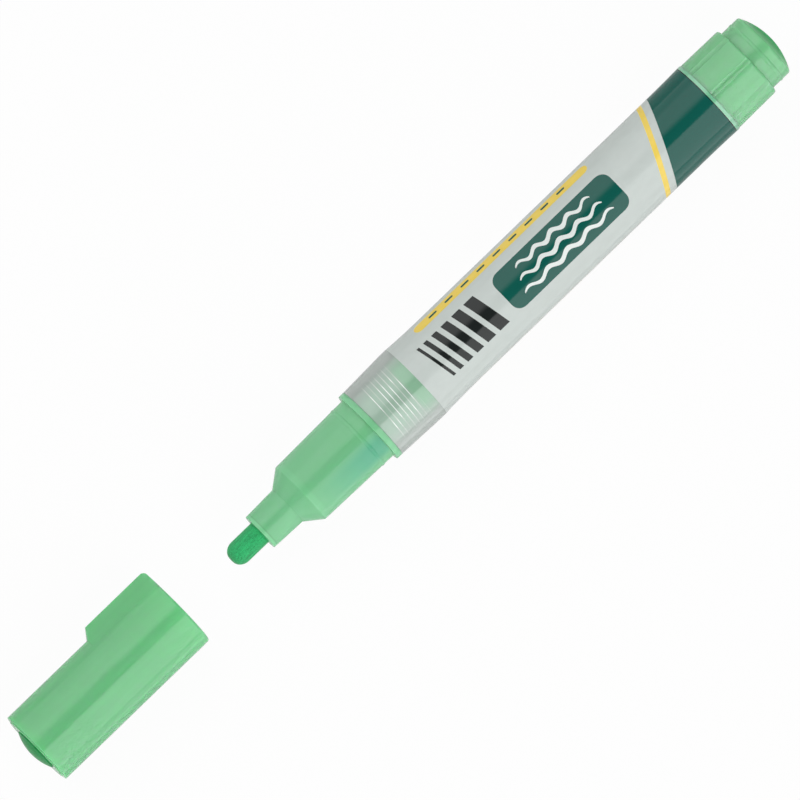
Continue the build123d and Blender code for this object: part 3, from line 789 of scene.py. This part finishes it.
def sheet_faces(sleeve, shapes, inks):
    """Cuts the rolled-out sheet along the print's outlines: points, triangles and each triangle's ink."""
    points, outlines = [], []
    for x in sleeve.stations():
        points += [(x, w) for w in sleeve.columns()]
    for ink, shape in shapes:
        outline = divided(shape, PRINT_STEP)
        area = sum(a[0] * b[1] - b[0] * a[1] for a, b in zip(outline, outline[1:] + outline[:1]))
        loop = outline if area > 0 else outline[::-1]
        outlines.append(list(range(len(points), len(points) + len(loop))))
        points += loop
    flat = [Vector(point) / MM for point in points]
    cut, _, faces, _, _, sources = delaunay_2d_cdt(flat, [], outlines, 0, CUT_TOLERANCE / MM, True)
    tones = [inks.index(shapes[max(source)][0]) if source else 0 for source in sources]
    return [point * MM for point in cut], faces, tones


def build_sleeve(sleeve, shapes, inks, materials):
    """The sleeve as one closed mesh: a printed outside, a plain inside and the film's thin edges."""
    sheet, triangles, tones = sheet_faces(sleeve, shapes, inks)
    points = [sleeve.point(x, w) for x, w in sheet]
    faces = [tuple(face) for face in triangles]
    normals = [[sleeve.normal(*sheet[corner]) for corner in face] for face in faces]
    stations, columns = sleeve.stations(), sleeve.columns()

    def border(axis, value):
        """Numbers of the sheet's points on one of its four sides, in order along it."""
        found = [index for index, point in enumerate(sheet) if abs(point[axis] - value) < SAME_PLACE]
        return sorted(found, key=lambda index: sheet[index][1 - axis])

    around = len(columns) - 1
    inside = len(points)
    for x in stations:
        points += [sleeve.point(x, w, SLEEVE_FILM + sleeve.lift(w)) for w in columns[:-1]]
    plain = [tuple(inside + corner for corner in face) for face in ring_faces(len(stations), around)]
    for row, x, turn in ((0, stations[0], 1), (len(stations) - 1, stations[-1], -1)):
        rim = border(0, x)
        first = inside + row * around
        for column in range(around):
            after = (column + 1) % around
            quad = (rim[column], rim[column + 1], first + after, first + column)
            plain.append(quad[::turn])
        plain.append((rim[-1], rim[0], first)[::turn])
    start, end = border(1, columns[0]), border(1, columns[-1])
    for a, b, c, d in zip(start, start[1:], end[1:], end):
        plain.append((a, d, c, b))
    piece = new_piece("printed_sleeve", points, faces + plain, materials)
    mesh = piece.data
    mesh.polygons.foreach_set("material_index", tones + [0] * len(plain))
    corner_normals = [normal for face in normals for normal in face]
    for face in mesh.polygons[len(faces):]:
        corner_normals += [face.normal] * face.loop_total
    mesh.normals_split_custom_set(corner_normals)
    return piece


# The fibre nib


def build_nib(sizes, material):
    """The nib as one closed mesh: a blunt bullet whose side is drawn into fine fibre bundles."""
    draws = np.random.default_rng(NIB_SEED)
    flat = NIB_RADIUS * NIB_TIP_FLAT_SHARE
    dome = [(NIB_TIP + NIB_DOME * (1 - math.cos(turn)), flat + (NIB_RADIUS - flat) * math.sin(turn))
            for turn in np.linspace(0, math.pi / 2, NIB_DOME_ROWS)]
    side = [(x, NIB_RADIUS) for x in np.linspace(NIB_TIP + NIB_DOME, NIB_TAIL, NIB_SIDE_ROWS)[1:]]
    profile = dome + side
    bundles = draws.uniform(0, 1, NIB_COLUMNS)
    drift = draws.uniform(-1, 1, (len(profile), NIB_COLUMNS))
    points = []
    for row, (x, radius) in enumerate(profile):
        for column in range(NIB_COLUMNS):
            angle = 2 * math.pi * column / NIB_COLUMNS
            share = NIB_BUNDLE_SHARE * bundles[column] + (1 - NIB_BUNDLE_SHARE) * abs(drift[row, column])
            reach = radius - sizes.fibre_depth * share
            points.append((x, -reach * math.sin(angle), reach * math.cos(angle)))
    faces = ring_faces(len(profile), NIB_COLUMNS)
    tip, tail = len(points), len(points) + 1
    points += [(NIB_TIP, 0, 0), (NIB_TAIL, 0, 0)]
    end = (len(profile) - 1) * NIB_COLUMNS
    for column in range(NIB_COLUMNS):
        after = (column + 1) % NIB_COLUMNS
        faces.append((tip, after, column))
        faces.append((tail, end + column, end + after))
    return new_piece("fibre_nib", points, faces, [material])


# The valve's spring


def build_spring(material):
    """The return spring as one closed tube of wire along its helix."""
    start = SPRING_FRONT + SPRING_WIRE_RADIUS
    end = SPRING_REAR - SPRING_WIRE_RADIUS
    radius = SPRING_OUTER_RADIUS - SPRING_WIRE_RADIUS
    rise = (end - start) / (2 * math.pi * SPRING_TURNS)
    rings = SPRING_TURNS * SPRING_RINGS_PER_TURN + 1
    points = []
    for turn in np.linspace(0, 2 * math.pi * SPRING_TURNS, rings):
        outwards = Vector((0, math.cos(turn), math.sin(turn)))
        along = Vector((rise, -radius * math.sin(turn), radius * math.cos(turn))).normalized()
        aside = along.cross(outwards)
        centre = Vector((start + rise * turn, 0, 0)) + outwards * radius
        for column in range(SPRING_COLUMNS):
            angle = 2 * math.pi * column / SPRING_COLUMNS
            spoke = outwards * math.cos(angle) + aside * math.sin(angle)
            points.append(centre + spoke * SPRING_WIRE_RADIUS)
    faces = ring_faces(rings, SPRING_COLUMNS)
    faces.append(tuple(reversed(range(SPRING_COLUMNS))))
    faces.append(tuple(range(len(points) - SPRING_COLUMNS, len(points))))
    return new_piece("return_spring", points, faces, [material])


# The stage


def area_lamp(name, level, length, width):
    """A rectangular lamp of one brightness, which the camera doesn't see."""
    light = bpy.data.lights.new(name, "AREA")
    light.shape = "RECTANGLE"
    light.size = length
    light.size_y = width
    light.energy = level * math.pi * length * width
    lamp = bpy.data.objects.new(name, light)
    bpy.context.scene.collection.objects.link(lamp)
    lamp.visible_camera = False
    return lamp


def softbox(name, level, inner, outer, length, soft_inner, soft_outer, outer_level=1.0, lean=0):
    """A lamp that spans two angles from the top about the marker's axis, in degrees, and fades over a share
    of its width at each edge. The lean, in degrees too, tips it down towards the nib's end."""
    angle_from_top = math.radians((inner + outer) / 2)
    width = 2 * SOFTBOX_DISTANCE * math.tan(math.radians(abs(outer - inner) / 2))
    lamp = area_lamp(name, level, length, width)
    lamp.data.use_nodes = True
    tree = lamp.data.node_tree
    tree.nodes.clear()
    place = add(tree, "ShaderNodeNewGeometry", {}).outputs["Parametric"]
    across = add(tree, "ShaderNodeSeparateXYZ", {"Vector": place}).outputs["Y"]
    top = add(tree, "ShaderNodeMapRange", {"Value": across, "From Min": 1.0, "From Max": 1.0 - soft_inner},
              interpolation_type="SMOOTHSTEP")
    foot = add(tree, "ShaderNodeMapRange", {"Value": across, "From Max": soft_outer, "To Min": outer_level},
               interpolation_type="SMOOTHSTEP")
    fade = add(tree, "ShaderNodeMath", {0: top.outputs[0], 1: foot.outputs[0]}, operation="MULTIPLY")
    glow = add(tree, "ShaderNodeEmission", {"Strength": fade.outputs[0]})
    add(tree, "ShaderNodeOutputLight", {"Surface": glow.outputs[0]})
    leaned = Matrix.Rotation(-math.radians(lean), 3, "Y")
    outwards = leaned @ Vector((0, -math.sin(angle_from_top), math.cos(angle_from_top)))
    along = leaned @ Vector((math.copysign(1, angle_from_top), 0, 0))
    up = outwards.cross(along)
    centre = Vector((VIEW_MIDDLE.x, 0, 0)) + outwards * SOFTBOX_DISTANCE
    lamp.matrix_world = Matrix.Translation(centre) @ Matrix((along, up, outwards)).transposed().to_4x4()
    return lamp


def bounce_card(level):
    """A bright card that lies on the floor beside the marker, on the key's side. Only gloss shows it."""
    lamp = area_lamp("bounce_card", level, CARD_LENGTH, CARD_WIDTH)
    centre = Vector((VIEW_MIDDLE.x, -CARD_NEAR_EDGE - CARD_WIDTH / 2, FLOOR_HEIGHT + CARD_THICKNESS))
    lamp.matrix_world = Matrix.Translation(centre) @ Matrix.Rotation(math.pi, 4, "X")
    lamp.visible_diffuse = False


def studio_world(ambient):
    """A white room to the camera and to gloss at eye level, dim overhead so that the gloss has shape."""
    world = bpy.data.worlds.new("Studio room")
    bpy.context.scene.world = world
    world.use_nodes = True
    tree = world.node_tree
    tree.nodes.clear()
    path = add(tree, "ShaderNodeLightPath", {})
    way = add(tree, "ShaderNodeTexCoord", {}).outputs["Generated"]
    height = add(tree, "ShaderNodeSeparateXYZ", {"Vector": way}).outputs["Z"]
    low = add(tree, "ShaderNodeMapRange", {"Value": height, "From Min": 0.0, "From Max": ROOM_WHITE_RISE,
                                           "To Min": 1.0, "To Max": 0.0})
    lifted = add(tree, "ShaderNodeMath", {0: seen_in_gloss(tree, path), 1: low.outputs[0]},
                 operation="MULTIPLY")
    seen = add(tree, "ShaderNodeMath", {0: path.outputs["Is Camera Ray"], 1: lifted.outputs[0]},
               operation="MAXIMUM")
    level = add(tree, "ShaderNodeMapRange", {"Value": seen.outputs[0], "To Min": ambient, "To Max": 1.0})
    room = add(tree, "ShaderNodeBackground", {"Color": (1, 1, 1, 1), "Strength": level.outputs[0]})
    add(tree, "ShaderNodeOutputWorld", {"Surface": room.outputs[0]})


def studio_camera():
    """The photograph's view: nearly square on, from above, with the marker rising to the right."""
    data = bpy.data.cameras.new("photo_camera")
    camera = bpy.data.objects.new("photo_camera", data)
    bpy.context.scene.collection.objects.link(camera)
    data.sensor_width = SENSOR_WIDTH
    data.lens = SENSOR_WIDTH * CAMERA_DISTANCE / (PHOTO_SIDE_PX / PHOTO_PX_PER_MM * MM)
    back = Vector((math.sin(VIEW_TILT), 0, math.cos(VIEW_TILT)))
    along = Vector((math.cos(VIEW_TILT), 0, -math.sin(VIEW_TILT)))
    across = Vector((0, 1, 0))
    right = along * math.cos(VIEW_TURN) - across * math.sin(VIEW_TURN)
    up = along * math.sin(VIEW_TURN) + across * math.cos(VIEW_TURN)
    turn = Matrix((right, up, back)).transposed().to_4x4()
    camera.matrix_world = Matrix.Translation(VIEW_MIDDLE + back * CAMERA_DISTANCE) @ turn
    bpy.context.scene.camera = camera


# Operators


class CHALK_OT_nib(bpy.types.Operator):
    """Make the fibre nib in place of its plain rod"""
    bl_idname = "chalk_marker.nib"
    bl_label = "Fibre nib"

    def execute(self, context):
        marker = context.scene.chalk_marker
        nib = build_nib(marker.sizes, nib_fibre(marker.colours, marker.sizes))
        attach(nib, "nib_pump")
        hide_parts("nib")
        return {"FINISHED"}


class CHALK_OT_section(bpy.types.Operator):
    """Finish the milky front section, the seal ring on its spigot and the valve's seal"""
    bl_idname = "chalk_marker.section"
    bl_label = "Front section and seals"

    def execute(self, context):
        colours = context.scene.chalk_marker.colours
        dress("front_section", section_polypropylene(colours))
        silicone = seal_silicone(colours)
        for ring in ("section_seal", "valve_seal"):
            dress(ring, silicone)
        return {"FINISHED"}


class CHALK_OT_valve(bpy.types.Operator):
    """Finish the pump valve's mouldings and make its return spring"""
    bl_idname = "chalk_marker.valve"
    bl_label = "Pump valve"

    def execute(self, context):
        acetal = valve_acetal(context.scene.chalk_marker.colours)
        for moulding in ("valve_body", "valve_plunger", "valve_retainer"):
            dress(moulding, acetal)
        # Drawn wire shows fine die lines and a satin shine
        spring = build_spring(steel("Drawn stainless wire", "#B4B6B8", streak=0.06, roughness=0.28))
        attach(spring, "section")
        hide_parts("valve_spring")
        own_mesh(spring)
        return {"FINISHED"}


class CHALK_OT_barrel(bpy.types.Operator):
    """Finish the hazy barrel and the steel ball inside it"""
    bl_idname = "chalk_marker.barrel"
    bl_label = "Barrel and mixing ball"

    def execute(self, context):
        dress("barrel_tube", barrel_polypropylene(context.scene.chalk_marker.colours))
        # A tumbled ball is bright, with faint cloudy marks
        dress("mixing_ball", steel("Tumbled stainless steel", "#C2C4C6", streak=0.7, roughness=0.12))
        return {"FINISHED"}


class CHALK_OT_sleeve(bpy.types.Operator):
    """Make the printed sleeve in place of its plain tube"""
    bl_idname = "chalk_marker.sleeve"
    bl_label = "Printed sleeve"

    def execute(self, context):
        marker = context.scene.chalk_marker
        colours = marker.colours
        sleeve = Sleeve(marker.sizes)
        inks = {
            "film": shrink_film("Shrink film, pale grey", colours.film),
            "green": shrink_film("Shrink film, dark green ink", colours.green_ink),
            "black": shrink_film("Shrink film, black ink", colours.black_ink),
            "yellow": shrink_film("Shrink film, yellow ink", colours.yellow_ink),
            "white": shrink_film("Shrink film, chalk white ink", colours.white_ink),
        }
        shapes = print_design(sleeve, marker.sizes)
        piece = build_sleeve(sleeve, shapes, list(inks), list(inks.values()))
        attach(piece, "barrel")
        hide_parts("label_sleeve")
        return {"FINISHED"}


class CHALK_OT_plug_and_cap(bpy.types.Operator):
    """Finish the rear plug, the cap and the cap's inner seal"""
    bl_idname = "chalk_marker.plug_and_cap"
    bl_label = "Rear plug and cap"

    def execute(self, context):
        colours = context.scene.chalk_marker.colours
        dress("rear_plug", plug_polypropylene(colours))
        dress("cap_shell", cap_polypropylene(colours))
        dress("cap_inner_seal", liner_polyethylene(colours))
        return {"FINISHED"}


class CHALK_OT_stage(bpy.types.Operator):
    """Lay the floor, light the marker and set the camera at the photograph's angle"""
    bl_idname = "chalk_marker.stage"
    bl_label = "Stage"

    def execute(self, context):
        stage = context.scene.chalk_marker.stage
        context.scene.view_settings.view_transform = "Standard"
        sides = ((-1, -1), (1, -1), (1, 1), (-1, 1))
        corners = [(x * FLOOR_REACH, y * FLOOR_REACH, FLOOR_HEIGHT) for x, y in sides]
        floor = new_piece("studio_floor", corners, [(0, 1, 2, 3)], [studio_floor()])
        softbox("key_softbox", stage.key, inner=19, outer=90, length=0.75, soft_inner=0.02, soft_outer=0.3)
        softbox("fill_softbox", stage.fill, inner=-6, outer=-69, length=1.25, soft_inner=0.3, soft_outer=0.3,
                outer_level=0.0)
        # The fill runs on to the horizon in gloss alone
        foot = softbox("fill_foot", stage.fill * FILL_FOOT_SHARE, inner=-50, outer=-90, length=1.25,
                       soft_inner=0.48, soft_outer=0.1)
        foot.visible_diffuse = False
        for name, side, share in (("front_key_card", 1, 1.0), ("front_fill_card", -1, FRONT_FILL_SHARE)):
            softbox(name, stage.front * share, inner=side * 10, outer=side * 48, length=0.5, soft_inner=0.1,
                    soft_outer=0.1, lean=76)
        bounce_card(stage.bounce)
        studio_world(stage.ambient)
        studio_camera()
        return {"FINISHED"}


class MarkerSettings(bpy.types.PropertyGroup):
    """All that a user can change."""
    colours: PointerProperty(type=MarkerColours)
    sizes: PointerProperty(type=MarkerSizes)
    stage: PointerProperty(type=MarkerStage)


class CHALK_PT_marker(bpy.types.Panel):
    """Sidebar panel of the chalk marker"""
    bl_idname = "CHALK_PT_marker"
    bl_label = "Chalk Marker"
    bl_space_type = "VIEW_3D"
    bl_region_type = "UI"
    bl_category = "Chalk Marker"

    def draw(self, context):
        marker = context.scene.chalk_marker
        for group in (marker.colours, marker.sizes, marker.stage):
            box = self.layout.box()
            for name in group.__annotations__:
                box.prop(group, name)
        for operator in OPERATORS:
            self.layout.operator(operator.bl_idname)


OPERATORS = (CHALK_OT_stage, CHALK_OT_nib, CHALK_OT_section, CHALK_OT_valve, CHALK_OT_barrel, CHALK_OT_sleeve,
             CHALK_OT_plug_and_cap)
CLASSES = (MarkerColours, MarkerSizes, MarkerStage, MarkerSettings, *OPERATORS, CHALK_PT_marker)


def register():
    """Adds the classes and the scene's settings."""
    for kind in CLASSES:
        bpy.utils.register_class(kind)
    bpy.types.Scene.chalk_marker = PointerProperty(type=MarkerSettings)


def unregister():
    """Takes the settings and the classes out again."""
    del bpy.types.Scene.chalk_marker
    for kind in reversed(CLASSES):
        bpy.utils.unregister_class(kind)


def main():
    """Dresses the whole marker."""
    register()
    bpy.ops.chalk_marker.stage()
    bpy.ops.chalk_marker.nib()
    bpy.ops.chalk_marker.section()
    bpy.ops.chalk_marker.valve()
    bpy.ops.chalk_marker.barrel()
    bpy.ops.chalk_marker.sleeve()
    bpy.ops.chalk_marker.plug_and_cap()


if __name__ == "__main__":
    main()
